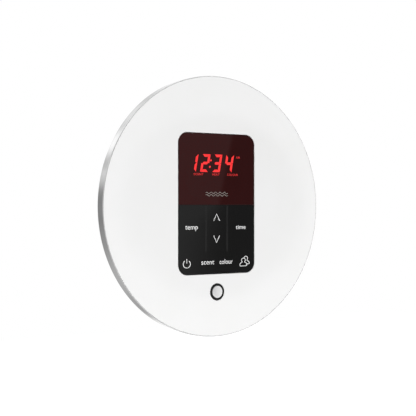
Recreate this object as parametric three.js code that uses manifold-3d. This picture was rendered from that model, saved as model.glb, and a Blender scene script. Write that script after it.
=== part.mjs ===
// A round wall control for the temperature and running time of a warm, wet room.
// A bracket is screwed to the wall. Four magnets hold the control head to it, and it pulls straight off.
// The head has a white face in a polished bezel, a window over a lit display, eight keys and a sensor.
//
// Millimetres. +X is to the right, +Y into the wall and +Z up. The wall is the plane y = 0, and the face
// looks along -Y. The origin is the point on the wall behind the centre of the face.
import * as THREE from "three";
import { mergeVertices } from "three/addons/utils/BufferGeometryUtils.js";
import Module from "manifold-3d";

const wasm = await Module();
wasm.setup();

// ---- Driving dimensions ----

// Room between pieces
const seatGap = 0.05; // between two faces that rest on each other
const sideGap = 0.35; // round a piece that drops into an opening
const boreGap = 0.15; // round a screw or a plug in its hole, on the radius

// Face and bezel
const faceDiameter = 146;
const wallToFront = 5.8; // how far the face stands off the wall
const bezelToWall = 0.3; // the seal touches the wall, and the metal doesn't
const bezelWall = 1.8;
const bezelLip = 0.5; // metal that shows round the face
const bezelChamfer = 0.2;
const bezelLedge = 3.7; // how far the ledge behind the face reaches in from the bezel's wall
const discThickness = 2.2;
const bondThickness = 0.3;

// Window and keypad, which fill one opening in the face
const panelWidth = 52.4;
const panelHeight = 78.9;
const panelCentreZ = 1.4;
const panelCorner = 6;
const panelThickness = 1.4;
const seamZ = 0.8; // where the window ends and the keypad begins
const seamGap = 0.1;
const filmThickness = 0.25;
const panelSealWidth = 1;
const panelSealThickness = 0.45;

// Keys. The side pads and the arrows fill the keypad above a row of four
const keyTravel = 0.4;
const keyMargin = 2.35; // from the panel's sides to the pads
const keyTopMargin = 2.5;
const keyBottomMargin = 2.7;
const keyRowHeight = 7.2;
const keyRowGap = 4.7; // between the row and what is above it
const keyInRowGap = 2.2;
const arrowWidth = 10.6;
const arrowGap = 2.8;
const columnGap = 4.4; // between the arrows and the side pads
const keyCorner = 2;
const keySideGap = 0.3;
const keyFlange = 0.5; // how far the flange behind a pad reaches past the frame's edge
const keyFlangeThickness = 0.45;
const keyStemRadius = 1.5;
const keyStemEntry = 0.4; // how far a stem stands in its switch

// Housing behind the panel, which goes into the wall
const collarWall = 1.15;
const shoulderReach = 2.8; // how far the housing reaches behind the carrier, past the panel's opening
const housingWall = 2;
const housingCorner = 3;
const housingDepth = 20; // behind the wall plane
const rearSealThickness = 0.55;
const rearCoverThickness = 2;
const rearScrewInset = 4.4; // from the housing's sides to the middle of a rear screw
const rearPostRadius = 2.6;
const postToDisplayBoard = 1;
const postToMainBoard = 2.2;
const carrierScrewInset = 2.6;
const railHeight = 40;
const railWidth = 1.5;
const railDepth = 3;

// Boards and what is on them
const boardThickness = 1.6;
const boardCorner = 1;
const displayBoardY = 2.4; // the front of the display board
const mainBoardRoom = 8; // from the front of the main board to the housing's back
const displayWidth = 36;
const displayHeight = 17;
const displayDepth = 5.5;
const displayX = -0.2;
const displayToTop = 9; // from the display to the panel's top
const shieldToSeam = 2.4;
const shieldThickness = 1;
const shieldToWindow = 0.6;
const switchSide = 6;
const switchDepth = 3.3;
const headerWidth = 20;
const headerHeight = 2.5;
const headerInset = 2.4; // from the main board's top to the header's middle
const chipSide = 12;
const chipThickness = 1.5;
const chipZ = 20;
const capacitorRadius = 3.2;
const capacitorHeight = 5.2;
const capacitorX = 15;
const capacitorZ = 0;
const buzzerRadius = 6;
const buzzerHeight = 5;
const buzzerX = -14;
const buzzerZ = -6;
const buzzerHoleRadius = 1;
const buzzerHoleDepth = 1.5;

// Socket for the control cable
const socketWidth = 14;
const socketHeight = 12;
const socketProud = 2; // how far the socket stands past the rear cover
const socketZ = -20;
const socketMouthWidth = 10;
const socketMouthHeight = 7;
const socketMouthDepth = 9;
const latchWidth = 3.3;
const latchHeight = 1.5;

// Temperature sensor
const sensorToPanel = 9.95; // from the panel's opening down to the sensor's middle
const sensorRadius = 3.4;
const sensorDome = 0.7; // how far the middle of the cap stands past its edge
const sensorProud = 0.2; // how far the cap's edge stands past the face
const sensorFrontWall = 1;
const sensorBoreRadius = 2;
const sensorTailLength = 2.6; // how far the cap reaches behind the carrier
const grommetWall = 1.15;
const grommetProud = 0.15;
const nutAcrossFlats = 10;
const nutThickness = 2.2;
const thermistorRadius = 1.5;
const thermistorLength = 3.2;
const leadRadius = 1.1;
const leadEndGap = 0.3;
const leadY = 7.4; // where the lead runs up into the housing

// Magnets in the carrier
const magnetRadius = 5;
const magnetThickness = 1.1;
const magnetGap = 0.3; // between the magnets and the bracket
const magnetToWay = 4; // from a magnet's edge to the way through the bracket
const magnetZ = 40;

// Bracket and seal on the wall
const bracketToSeal = 1;
const bracketThickness = 1;
const bracketRoom = 2; // round the housing
const bracketCorner = 4;
const notchRoom = 2.7; // round the sensor's nut
const slotWidth = 4.4;
const slotLength = 8.4;
const wallScrewInset = 12.5; // from the bracket's edge
const wallScrewZ = 20;
const wallScrewRoom = 1; // round a head, in the carrier
const sealWidth = 7.4;
const sealToBezel = 0.3;

// Screws: radii of head and shank, and lengths. The cross in a head is two slots
const wallScrew = { head: 3.6, headHeight: 1.05, shank: 1.7, length: 23, tip: 4, slot: 0.9, slotDepth: 0.6 };
const rearScrew = { head: 2.4, headHeight: 1.4, shank: 1.15, length: 11, tip: 1, slot: 0.7, slotDepth: 0.7 };
const carrierScrew = {
  head: 2.1,
  headHeight: 0.95,
  shank: 1,
  length: 4.2,
  tip: 0.6,
  slot: 0.6,
  slotDepth: 0.4,
};

// Fineness of round shapes
const bigRound = 48;
const smallRound = 20;
const screwRound = 12;
const cornerSteps = 2;
const domeSteps = 5;
const leadSides = 8;
const leadSteps = 20;

const past = 1; // how far a cutting shape runs past what it cuts

// ---- Places worked out from the sizes above ----

const faceRadius = faceDiameter / 2;
const frontY = -wallToFront;
const discBackY = frontY + discThickness;
const bondFrontY = discBackY + seatGap;
const bondBackY = bondFrontY + bondThickness;
const carrierFrontY = bondBackY + seatGap;
const carrierBackY = -bracketThickness - magnetGap;
const carrierScrewHeadY = carrierFrontY + carrierScrew.headHeight;
const ledgeRadius = faceRadius - bezelWall - bezelLedge;
const discRadius = faceRadius - bezelLip - boreGap;
const carrierRadius = ledgeRadius - sideGap;
const sealOuterRadius = faceRadius - bezelWall - sealToBezel;
const sealInnerRadius = sealOuterRadius - sealWidth;
const bracketRadius = sealInnerRadius - bracketToSeal;

const panelBackY = frontY + panelThickness;
const filmBackY = frontY + filmThickness;
const frameFrontY = filmBackY + seatGap;
const flangeFrontY = panelBackY + seatGap;
const flangeBackY = flangeFrontY + keyFlangeThickness;
const panelSealFrontY = panelBackY + seatGap;
const panelSealBackY = panelSealFrontY + panelSealThickness;
const collarFrontY = panelSealBackY + seatGap;
const shoulderY = carrierBackY + seatGap;
const boardLedgeY = displayBoardY - seatGap;
const displayBoardBackY = displayBoardY + boardThickness;
const mainBoardY = housingDepth - mainBoardRoom;
const mainBoardBackY = mainBoardY + boardThickness;
const onMainBoardY = mainBoardBackY + seatGap;
const rearSealFrontY = housingDepth + seatGap;
const rearSealBackY = rearSealFrontY + rearSealThickness;
const rearCoverFrontY = rearSealBackY + seatGap;
const rearCoverBackY = rearCoverFrontY + rearCoverThickness;
const socketBackY = rearCoverBackY + socketProud;
const switchBackY = displayBoardY - seatGap;
const switchFrontY = switchBackY - switchDepth;
const switchWellDepth = keyStemEntry + keyTravel + switchDepth / 6;

// Outlines as [x, z, width, height]
const panelOutline = [0, panelCentreZ, panelWidth, panelHeight];
const panelInner = inset(panelOutline, sideGap);
const panelInnerCorner = panelCorner - sideGap;
const housingOuter = inset(panelOutline, -shoulderReach);
const housingInner = inset(housingOuter, housingWall);
const displayBoardOutline = inset(housingInner, sideGap);
const panelInnerWidth = widthOf(panelInner);
const panelTopZ = topOf(panelInner);
const panelBottomZ = bottomOf(panelInner);
const mainBoardOutline = [0, panelCentreZ, widthOf(displayBoardOutline), mainBoardHeight()];
const keyPads = layOutKeys();

const sensorZ = bottomOf(panelOutline) - sensorToPanel;
const nutRadius = nutAcrossFlats / Math.sqrt(3);
const wayOutline = inset(housingOuter, -bracketRoom);
const magnetX = widthOf(wayOutline) / 2 + magnetToWay + magnetRadius;
const wallScrewPlaces = corners(bracketRadius - wallScrewInset, wallScrewZ, 0);
const magnetPlaces = corners(magnetX, magnetZ, 0);
const rearScrewPlaces = housingCorners(rearScrewInset);
const carrierScrewPlaces = housingCorners(carrierScrewInset);

// ---- Materials ----

function material(color, roughness, metalness = 0) {
  return new THREE.MeshStandardMaterial({ color, roughness, metalness });
}

const polishedMetal = material(0xc8cacc, 0.12, 1);
const whiteGloss = material(0xf2f2f2, 0.08);
const bondTape = material(0xd8d8d4, 0.6);
const whitePlastic = material(0xe4e4e0, 0.5);
const blackPlastic = material(0x18181a, 0.45);
const blackFilm = material(0x1a1a1b, 0.3);
const keyPlastic = material(0x202022, 0.5);
const redWindow = material(0x3a1214, 0.06);
const blackRubber = material(0x111112, 0.75);
const greyRubber = material(0x6c6e70, 0.8);
const stainless = material(0xb4b6b8, 0.3, 1);
const zincSteel = material(0xa8aaae, 0.35, 1);
const nickelMagnet = material(0xc0c0c2, 0.25, 1);
const boardGreen = material(0x1c5a36, 0.45);
const chipBlack = material(0x151516, 0.5);
const canAluminium = material(0xbfc1c4, 0.35, 1);
const sensorSteel = material(0xd6d7d8, 0.25, 1);

// ---- Outlines ----

// The four places at x and z either side of the middle.
function corners(x, z, middleZ) {
  return [
    { x: -x, z: middleZ + z },
    { x, z: middleZ + z },
    { x: -x, z: middleZ - z },
    { x, z: middleZ - z },
  ];
}

function housingCorners(fromSides) {
  const [, , width, height] = inset(housingOuter, fromSides);
  return corners(width / 2, height / 2, panelCentreZ);
}

function inset([x, z, width, height], distance) {
  return [x, z, width - 2 * distance, height - 2 * distance];
}

function widthOf([, , width]) {
  return width;
}

function topOf([, z, , height]) {
  return z + height / 2;
}

function bottomOf([, z, , height]) {
  return z - height / 2;
}

// The main board stands between the housing's posts.
function mainBoardHeight() {
  const toPosts = rearScrewInset + rearPostRadius + postToMainBoard;
  return topOf(housingOuter) - bottomOf(housingOuter) - 2 * toPosts;
}

// The outline of each key's pad
function layOutKeys() {
  const right = panelInnerWidth / 2 - keyMargin;
  const rowZ = panelBottomZ + keyBottomMargin + keyRowHeight / 2;
  const top = seamZ - keyTopMargin;
  const bottom = rowZ + keyRowHeight / 2 + keyRowGap;
  const middle = (top + bottom) / 2;
  const sideWidth = right - columnGap - arrowWidth / 2;
  const sideX = right - sideWidth / 2;
  const arrowHeight = (top - bottom - arrowGap) / 2;
  const arrowRise = (arrowHeight + arrowGap) / 2;
  const rowWidth = (2 * right - 3 * keyInRowGap) / 4;
  const inRow = (place) => [(place - 1.5) * (rowWidth + keyInRowGap), rowZ, rowWidth, keyRowHeight];
  return {
    temp: [-sideX, middle, sideWidth, top - bottom],
    time: [sideX, middle, sideWidth, top - bottom],
    up: [0, middle + arrowRise, arrowWidth, arrowHeight],
    down: [0, middle - arrowRise, arrowWidth, arrowHeight],
    power: inRow(0),
    scent: inRow(1),
    colour: inRow(2),
    users: inRow(3),
  };
}

// A rectangle whose corners, from the top left clockwise, have radii of their own or share one.
function rectangle([x, z, width, height], radii = 0) {
  const [topLeft, topRight, bottomRight, bottomLeft] = Array.isArray(radii) ? radii : Array(4).fill(radii);
  const left = x - width / 2;
  const right = x + width / 2;
  const bottom = z - height / 2;
  const top = z + height / 2;
  const quarter = Math.PI / 2;
  const outline = new THREE.Shape();
  const corner = (centreX, centreZ, radius, start) => {
    if (radius > 0) outline.absarc(centreX, centreZ, radius, start, start + quarter, false);
    else outline.lineTo(centreX, centreZ);
  };
  outline.moveTo(left + bottomLeft, bottom);
  outline.lineTo(right - bottomRight, bottom);
  corner(right - bottomRight, bottom + bottomRight, bottomRight, -quarter);
  outline.lineTo(right, top - topRight);
  corner(right - topRight, top - topRight, topRight, 0);
  outline.lineTo(left + topLeft, top);
  corner(left + topLeft, top - topLeft, topLeft, quarter);
  outline.lineTo(left, bottom + bottomLeft);
  corner(left + bottomLeft, bottom + bottomLeft, bottomLeft, 2 * quarter);
  return outline;
}

function circle(x, z, radius, segments = smallRound) {
  const points = Array.from({ length: segments }, (_, i) => {
    const angle = (2 * Math.PI * i) / segments;
    return new THREE.Vector2(x + radius * Math.cos(angle), z + radius * Math.sin(angle));
  });
  return new THREE.Shape(points);
}

// The holes that the face, the bonding sheet and the carrier share: one for the panel and one for the sensor.
function faceHoles() {
  const sensorHoleRadius = sensorRadius + boreGap + grommetWall + boreGap;
  return [rectangle(panelOutline, panelCorner), circle(0, sensorZ, sensorHoleRadius)];
}

// ---- Shapes ----

// A flat piece: an outline in x and z with holes in it, from front to back.
function plate(outline, holes, front, back) {
  outline.holes = holes;
  const settings = { depth: back - front, bevelEnabled: false, curveSegments: cornerSteps };
  return new THREE.ExtrudeGeometry(outline, settings).rotateX(Math.PI / 2).translate(0, back, 0);
}

// A round piece about the Y axis through (x, z): an outline of radius and y, closed or ending on the axis.
function turned(profile, x, z, segments = smallRound) {
  const points = profile.map(([radius, y]) => new THREE.Vector2(radius, y));
  return new THREE.LatheGeometry(points, segments).translate(x, 0, z);
}

function rod(radius, { x, z }, front, back, segments = smallRound) {
  return turned([[0, front], [radius, front], [radius, back], [0, back]], x, z, segments);
}

function ring(inner, outer, { x, z }, front, back, segments = smallRound) {
  const section = [[inner, front], [outer, front], [outer, back], [inner, back], [inner, front]];
  return turned(section, x, z, segments);
}

function block([x, z, width, height], front, back) {
  return new THREE.BoxGeometry(width, back - front, height).translate(x, (front + back) / 2, z);
}

// ---- Joining and cutting ----

function solidOf(geometry) {
  const bare = geometry.clone();
  bare.deleteAttribute("normal");
  bare.deleteAttribute("uv");
  const merged = mergeVertices(bare, 1e-4);
  const mesh = new wasm.Mesh({
    numProp: 3,
    vertProperties: new Float32Array(merged.attributes.position.array),
    triVerts: new Uint32Array(merged.index.array),
  });
  return new wasm.Manifold(mesh);
}

function geometryOf(solid) {
  const mesh = solid.getMesh();
  const geometry = new THREE.BufferGeometry();
  geometry.setAttribute("position", new THREE.BufferAttribute(mesh.vertProperties, mesh.numProp));
  geometry.setIndex(new THREE.BufferAttribute(mesh.triVerts, 1));
  geometry.computeVertexNormals();
  return geometry;
}

function cut(geometry, tools) {
  return geometryOf(tools.reduce((left, tool) => left.subtract(solidOf(tool)), solidOf(geometry)));
}

function join(pieces) {
  return geometryOf(pieces.map(solidOf).reduce((whole, piece) => whole.add(piece)));
}

// ---- The assembly ----

const control = new THREE.Group();

function add(name, geometry, look) {
  const mesh = new THREE.Mesh(geometry, look.clone());
  mesh.name = name;
  control.add(mesh);
}

// A screw whose head rests at headY. Its shank runs into the wall, or out of it where direction is -1.
function screw(size, { x, z }, headY, direction) {
  const y = (distance) => headY + direction * distance;
  const profile = [
    [0, y(-size.headHeight)],
    [size.head, y(-size.headHeight)],
    [size.head, y(0)],
    [size.shank, y(0)],
    [size.shank, y(size.length - size.tip)],
    [0, y(size.length)],
  ];
  if (direction < 0) profile.reverse();
  const ends = [y(-size.headHeight - past), y(size.slotDepth - size.headHeight)].sort((a, b) => a - b);
  const reach = 1.3 * size.head;
  const cross = [block([x, z, reach, size.slot], ...ends), block([x, z, size.slot, reach], ...ends)];
  return cut(turned(profile, x, z, screwRound), cross);
}

function addScrews(name, size, places, headY, direction) {
  places.forEach((place, i) => add(`${name}_${i + 1}`, screw(size, place, headY, direction), zincSteel));
}

// Holes for the shanks of screws, from front to back
function shankHoles(size, places, front, back, room = boreGap) {
  return places.map((place) => rod(size.shank + room, place, front, back, screwRound));
}

// Wall side: the bracket, with a way through for the housing and the sensor, and a slot for each wall screw
function addBracket() {
  const notchTop = bottomOf(wayOutline) + past;
  const notchBottom = sensorZ - nutRadius - notchRoom;
  const notchWidth = 2 * (nutRadius + notchRoom);
  const notch = rectangle([0, (notchTop + notchBottom) / 2, notchWidth, notchTop - notchBottom]);
  const ways = [rectangle(wayOutline, bracketCorner), notch];
  const slotCorner = 0.49 * slotWidth;
  const slots = wallScrewPlaces.map(({ x, z }) => rectangle([x, z, slotWidth, slotLength], slotCorner));
  const sheet = plate(circle(0, 0, bracketRadius, bigRound), slots, -bracketThickness, 0);
  const tools = ways.map((way) => plate(way, [], -bracketThickness - past, past));
  add("wall_bracket", cut(sheet, tools), stainless);
  addScrews("wall_screw", wallScrew, wallScrewPlaces, -bracketThickness - seatGap, 1);
}

// The polished ring that holds the face, with a ledge behind it, and the seal between it and the wall
function addBezel() {
  const lipRadius = faceRadius - bezelLip;
  const skirtRadius = faceRadius - bezelWall;
  const section = [
    [lipRadius, frontY],
    [faceRadius - bezelChamfer, frontY],
    [faceRadius, frontY + bezelChamfer],
    [faceRadius, -bezelToWall],
    [skirtRadius, -bezelToWall],
    [skirtRadius, carrierBackY],
    [ledgeRadius, carrierBackY],
    [ledgeRadius, carrierFrontY],
    [lipRadius, carrierFrontY],
    [lipRadius, frontY],
  ];
  add("bezel_ring", turned(section, 0, 0, bigRound), polishedMetal);
  const seal = ring(sealInnerRadius, sealOuterRadius, { x: 0, z: 0 }, shoulderY, 0, bigRound);
  add("wall_seal", seal, greyRubber);
}

// The face, the sheet that bonds it, and the carrier with its magnets and screws
function addFace() {
  const disc = circle(0, 0, discRadius, bigRound);
  add("face_disc", plate(disc, faceHoles(), frontY, discBackY), whiteGloss);
  const sheet = circle(0, 0, discRadius - sideGap, bigRound);
  add("bonding_sheet", plate(sheet, faceHoles(), bondFrontY, bondBackY), bondTape);
  const carrier = plate(circle(0, 0, carrierRadius, bigRound), faceHoles(), carrierFrontY, carrierBackY);
  const end = carrierBackY + past;
  const start = carrierFrontY - past;
  const magnetPocketY = carrierBackY - magnetThickness - seatGap;
  const wallHeadPocketY = carrierBackY - wallScrew.headHeight - boreGap;
  const headPocketEnd = carrierScrewHeadY + seatGap;
  const pockets = [
    ...magnetPlaces.map((place) => rod(magnetRadius + boreGap, place, magnetPocketY, end)),
    ...wallScrewPlaces.map((place) => rod(wallScrew.head + wallScrewRoom, place, wallHeadPocketY, end)),
    ...carrierScrewPlaces.map((place) =>
      rod(carrierScrew.head + boreGap, place, start, headPocketEnd, screwRound),
    ),
    ...shankHoles(carrierScrew, carrierScrewPlaces, start, end),
  ];
  add("carrier_plate", cut(carrier, pockets), whitePlastic);
  magnetPlaces.forEach((place, i) => {
    const magnet = rod(magnetRadius, place, carrierBackY - magnetThickness, carrierBackY);
    add(`magnet_${i + 1}`, magnet, nickelMagnet);
  });
  addScrews("carrier_screw", carrierScrew, carrierScrewPlaces, carrierScrewHeadY, 1);
}

// Window, film, frame, keys and the seal behind them
function addPanel() {
  const round = panelInnerCorner;
  const windowHeight = panelTopZ - seamZ - seamGap / 2;
  const windowOutline = [0, panelTopZ - windowHeight / 2, panelInnerWidth, windowHeight];
  const window = rectangle(windowOutline, [round, round, 0, 0]);
  add("display_window", plate(window, [], frontY, panelBackY), redWindow);
  const keypadHeight = seamZ - seamGap / 2 - panelBottomZ;
  const keypadOutline = [0, panelBottomZ + keypadHeight / 2, panelInnerWidth, keypadHeight];
  const keypad = () => rectangle(keypadOutline, [0, 0, round, round]);
  add("keypad_film", plate(keypad(), [], frontY, filmBackY), blackFilm);
  const keyHoles = Object.values(keyPads).map((pad) =>
    rectangle(inset(pad, -keySideGap), keyCorner + keySideGap),
  );
  add("keypad_frame", plate(keypad(), keyHoles, frameFrontY, panelBackY), blackPlastic);
  for (const [name, pad] of Object.entries(keyPads)) add(`key_${name}`, key(pad), keyPlastic);
  const sealHole = rectangle(inset(panelInner, panelSealWidth), round - panelSealWidth);
  const seal = plate(rectangle(panelInner, round), [sealHole], panelSealFrontY, panelSealBackY);
  add("panel_seal", seal, blackRubber);
}

// A pad under the film, a flange that keeps it behind the frame and a stem that stands in its switch
function key(pad) {
  const [x, z] = pad;
  const reach = keySideGap + keyFlange;
  const root = keyFlangeThickness / 3;
  return join([
    plate(rectangle(pad, keyCorner), [], frameFrontY, flangeBackY),
    plate(rectangle(inset(pad, -reach), keyCorner + reach), [], flangeFrontY, flangeBackY),
    rod(keyStemRadius, { x, z }, flangeBackY - root, switchFrontY + keyStemEntry, screwRound),
  ]);
}

// The housing: a collar that carries the panel, a shoulder behind the carrier, and a box with its fittings
function addHousing() {
  const collar = plate(rectangle(panelInner, panelInnerCorner), [], collarFrontY, shoulderY + past);
  const box = plate(rectangle(housingOuter, housingCorner), [], shoulderY, housingDepth);
  const way = rectangle(inset(panelInner, collarWall), panelInnerCorner - collarWall);
  const inside = rectangle(housingInner, housingCorner - housingWall);
  const shell = cut(join([collar, box]), [
    plate(way, [], collarFrontY - past, boardLedgeY + past),
    plate(inside, [], boardLedgeY, housingDepth + past),
  ]);
  const railBack = mainBoardY - seatGap;
  const railRoot = housingWall / 10;
  const railX = widthOf(housingInner) / 2 - (railWidth - railRoot) / 2;
  const fittings = [
    ...rearScrewPlaces.map((place) =>
      rod(rearPostRadius, place, displayBoardBackY + postToDisplayBoard, housingDepth - seatGap, screwRound),
    ),
    ...[-railX, railX].map((x) =>
      block([x, panelCentreZ, railWidth + railRoot, railHeight], railBack - railDepth, railBack),
    ),
  ];
  const holeRadius = leadRadius + boreGap;
  const leadHole = new THREE.CylinderGeometry(holeRadius, holeRadius, housingWall + 2 * past, screwRound)
    .rotateX(Math.PI / 2)
    .translate(0, leadY, bottomOf(housingOuter) + housingWall / 2);
  const rearHoleFront = rearCoverBackY - rearScrew.length - past;
  const carrierHoleEnd = carrierScrewHeadY + carrierScrew.length + past;
  const holes = [
    ...shankHoles(rearScrew, rearScrewPlaces, rearHoleFront, housingDepth + past),
    ...shankHoles(carrierScrew, carrierScrewPlaces, shoulderY - past, carrierHoleEnd),
    leadHole,
  ];
  add("housing", cut(join([shell, ...fittings]), holes), blackPlastic);
}

// What closes the housing: a seal, a cover with a hole for the cable socket, and four screws
function addRear() {
  const room = 2 * boreGap;
  const outline = () => rectangle(housingOuter, housingCorner);
  const inside = rectangle(housingInner, housingCorner - housingWall);
  const rim = plate(outline(), [inside], rearSealFrontY, rearSealBackY);
  const posts = rearScrewPlaces.map((place) =>
    rod(rearPostRadius, place, rearSealFrontY, rearSealBackY, screwRound),
  );
  const holes = shankHoles(rearScrew, rearScrewPlaces, rearSealFrontY - past, rearSealBackY + past, room);
  add("rear_seal", cut(join([rim, ...posts]), holes), greyRubber);
  const socketHole = rectangle(inset([0, socketZ, socketWidth, socketHeight], -sideGap));
  const screwHoles = rearScrewPlaces.map(({ x, z }) => circle(x, z, rearScrew.shank + room, screwRound));
  const cover = plate(outline(), [...screwHoles, socketHole], rearCoverFrontY, rearCoverBackY);
  add("rear_cover", cover, blackPlastic);
  addScrews("rear_screw", rearScrew, rearScrewPlaces, rearCoverBackY + seatGap, -1);
}

// Display side: light shield, lit display, its board and one switch behind each key
function addDisplay() {
  const shieldFront = panelBackY + shieldToWindow;
  const way = inset(panelInner, collarWall + boreGap);
  const round = panelInnerCorner - collarWall - boreGap;
  const shieldHeight = topOf(way) - seamZ - shieldToSeam;
  const shieldOutline = [0, topOf(way) - shieldHeight / 2, widthOf(way), shieldHeight];
  const shield = rectangle(shieldOutline, [round, round, 0, 0]);
  const displayZ = panelTopZ - displayToTop - displayHeight / 2;
  const display = [displayX, displayZ, displayWidth, displayHeight];
  const shieldHole = rectangle(inset(display, -sideGap));
  add("light_shield", plate(shield, [shieldHole], shieldFront, shieldFront + shieldThickness), blackPlastic);
  add("led_display", block(display, switchBackY - displayDepth, switchBackY), blackPlastic);
  const board = rectangle(displayBoardOutline, boardCorner);
  add("display_board", plate(board, [], displayBoardY, displayBoardBackY), boardGreen);
  for (const [name, [x, z]] of Object.entries(keyPads)) {
    const body = block([x, z, switchSide, switchSide], switchFrontY, switchBackY);
    const wellEnd = switchFrontY + switchWellDepth;
    const well = rod(keyStemRadius + 2 * boreGap, { x, z }, switchFrontY - past, wellEnd, screwRound);
    add(`switch_${name}`, cut(body, [well]), chipBlack);
  }
}

// Main board: chip, capacitor and buzzer, the header to the display board, and the cable socket
function addMainBoard() {
  const board = rectangle(mainBoardOutline, boardCorner);
  add("main_board", plate(board, [], mainBoardY, mainBoardBackY), boardGreen);
  const header = [0, topOf(mainBoardOutline) - headerInset, headerWidth, headerHeight];
  add("board_header", block(header, displayBoardBackY + seatGap, mainBoardY - seatGap), chipBlack);
  const chip = [0, chipZ, chipSide, chipSide];
  add("controller_chip", block(chip, onMainBoardY, onMainBoardY + chipThickness), chipBlack);
  const can = { x: capacitorX, z: capacitorZ };
  add("capacitor", rod(capacitorRadius, can, onMainBoardY, onMainBoardY + capacitorHeight), canAluminium);
  const sounder = { x: buzzerX, z: buzzerZ };
  const soundY = onMainBoardY + buzzerHeight;
  const soundHole = rod(buzzerHoleRadius, sounder, soundY - buzzerHoleDepth, soundY + past, screwRound);
  add("buzzer", cut(rod(buzzerRadius, sounder, onMainBoardY, soundY), [soundHole]), chipBlack);
  const mouthFront = socketBackY - socketMouthDepth;
  const mouth = [0, socketZ, socketMouthWidth, socketMouthHeight];
  const latch = [0, socketZ - socketMouthHeight / 2, latchWidth, 2 * latchHeight];
  const body = block([0, socketZ, socketWidth, socketHeight], onMainBoardY, socketBackY);
  const cavities = [mouth, latch].map((outline) => block(outline, mouthFront, socketBackY + past));
  add("cable_socket", cut(body, cavities), chipBlack);
}

// Sensor: a domed cap in a rubber grommet, a nut behind the carrier, the thermistor in the cap and its lead
function addSensor() {
  const place = { x: 0, z: sensorZ };
  const edgeY = frontY - sensorProud;
  const tailY = carrierBackY + sensorTailLength;
  const boreEndY = frontY + sensorFrontWall;
  const dome = Array.from({ length: domeSteps + 1 }, (_, i) => {
    const angle = ((i / domeSteps) * Math.PI) / 2;
    return [sensorRadius * Math.sin(angle), edgeY - sensorDome * Math.cos(angle)];
  });
  const bore = [[sensorBoreRadius, boreEndY], [0, boreEndY]];
  const tail = [[sensorRadius, tailY], [sensorBoreRadius, tailY], ...bore];
  add("sensor_cap", turned([...dome, ...tail], 0, sensorZ), sensorSteel);
  const holeRadius = sensorRadius + boreGap;
  const grommetFront = frontY - grommetProud;
  const grommet = ring(holeRadius, holeRadius + grommetWall, place, grommetFront, carrierBackY);
  add("sensor_grommet", grommet, blackRubber);
  const nutFront = carrierBackY + seatGap;
  const nutBack = nutFront + nutThickness;
  const nutBore = rod(holeRadius, place, nutFront - past, nutBack + past);
  const nut = rod(nutRadius, place, nutFront, nutBack, 6);
  add("sensor_nut", cut(nut, [nutBore]), stainless);
  const beadFront = boreEndY + boreGap;
  const beadBack = beadFront + thermistorLength;
  add("thermistor", rod(thermistorRadius, place, beadFront, beadBack, screwRound), keyPlastic);
  add("sensor_lead", lead(beadBack + leadEndGap, displayBoardBackY + leadEndGap), greyRubber);
}

// The lead, from the bead back through the wall opening and up into the housing, to the display board
function lead(startY, endY) {
  const route = [
    [startY, 0],
    [3.6, 0],
    [leadY - 1, 1.6],
    [leadY, 4.6],
    [leadY, 9],
    [leadY, 13],
    [leadY - 0.8, 15.8],
    [endY + 0.9, 16.6],
    [endY, 16.6],
  ].map(([y, rise]) => new THREE.Vector3(0, y, sensorZ + rise));
  const extrudePath = new THREE.CatmullRomCurve3(route);
  return new THREE.ExtrudeGeometry(circle(0, 0, leadRadius, leadSides), { extrudePath, steps: leadSteps });
}

addBracket();
addBezel();
addFace();
addPanel();
addHousing();
addRear();
addDisplay();
addMainBoard();
addSensor();

export default control;
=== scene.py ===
import math

import bmesh
import bpy
from mathutils import Matrix, Vector


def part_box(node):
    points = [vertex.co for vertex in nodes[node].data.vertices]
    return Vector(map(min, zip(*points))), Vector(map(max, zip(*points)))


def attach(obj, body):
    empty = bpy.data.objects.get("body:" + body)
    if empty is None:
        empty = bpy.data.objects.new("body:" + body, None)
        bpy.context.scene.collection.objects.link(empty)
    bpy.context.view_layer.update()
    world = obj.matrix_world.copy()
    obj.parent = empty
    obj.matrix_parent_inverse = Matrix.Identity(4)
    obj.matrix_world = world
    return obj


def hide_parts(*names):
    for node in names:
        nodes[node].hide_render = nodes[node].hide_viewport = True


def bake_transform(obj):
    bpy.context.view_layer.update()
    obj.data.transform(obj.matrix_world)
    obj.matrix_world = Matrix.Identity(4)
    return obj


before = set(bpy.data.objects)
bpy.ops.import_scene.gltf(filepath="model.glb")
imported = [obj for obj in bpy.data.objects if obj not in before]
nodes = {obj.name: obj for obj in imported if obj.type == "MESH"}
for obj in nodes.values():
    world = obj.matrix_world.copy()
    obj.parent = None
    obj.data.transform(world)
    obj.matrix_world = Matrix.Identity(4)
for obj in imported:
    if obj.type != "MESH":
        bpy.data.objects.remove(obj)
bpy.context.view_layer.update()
scene = bpy.context.scene
scene.view_settings.view_transform = "Standard"
print("frame loaded")


camera = {"place": (-0.3364, -0.4823, 0.0), "lens": 90, "shift": (-0.0079, -0.0042)}


def aimed(name, data, place):
    # Faces the middle of the control
    piece = bpy.data.objects.new(name, data)
    scene.collection.objects.link(piece)
    piece.location = place
    piece.rotation_mode = "QUATERNION"
    piece.rotation_quaternion = (-Vector(place)).to_track_quat("-Z", "Y")
    return piece


def addCamera():
    data = bpy.data.cameras.new("camera")
    data.lens = camera["lens"]
    data.shift_x, data.shift_y = camera["shift"]
    scene.camera = aimed("camera", data, camera["place"])


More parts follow.
